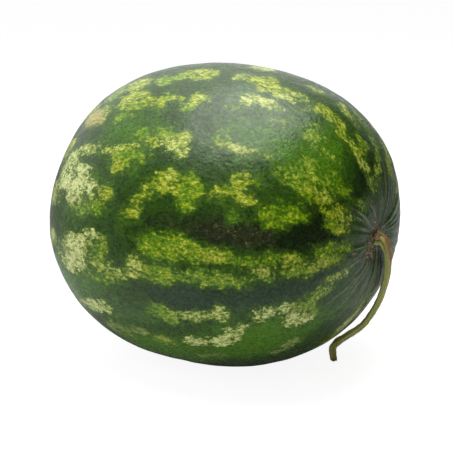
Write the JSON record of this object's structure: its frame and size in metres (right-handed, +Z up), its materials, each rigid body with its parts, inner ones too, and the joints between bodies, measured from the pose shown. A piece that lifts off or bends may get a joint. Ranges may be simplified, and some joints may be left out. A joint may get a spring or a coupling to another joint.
{
  "type": "watermelon",
  "caption": "Whole ripe watermelon with a mottled, striped green rind and a curled dry stalk, resting on its side on a small flat spot.",
  "frame": {"origin": "on the surface that the fruit rests on, at the flat spot straight below the middle of the fruit's length", "axes": "+X along the fruit from the blossom end to the stalk end, +Z up"},
  "size_m": [0.2876, 0.2588, 0.2402],
  "materials": {
    "rind": "satin",
    "stalk": "matte",
    "fibre": "matte"
  },
  "bodies": {
    "root": {"fruit": "rind", "stalk": "stalk", "stalk_fibre": "fibre"}
  },
  "joints": []
}
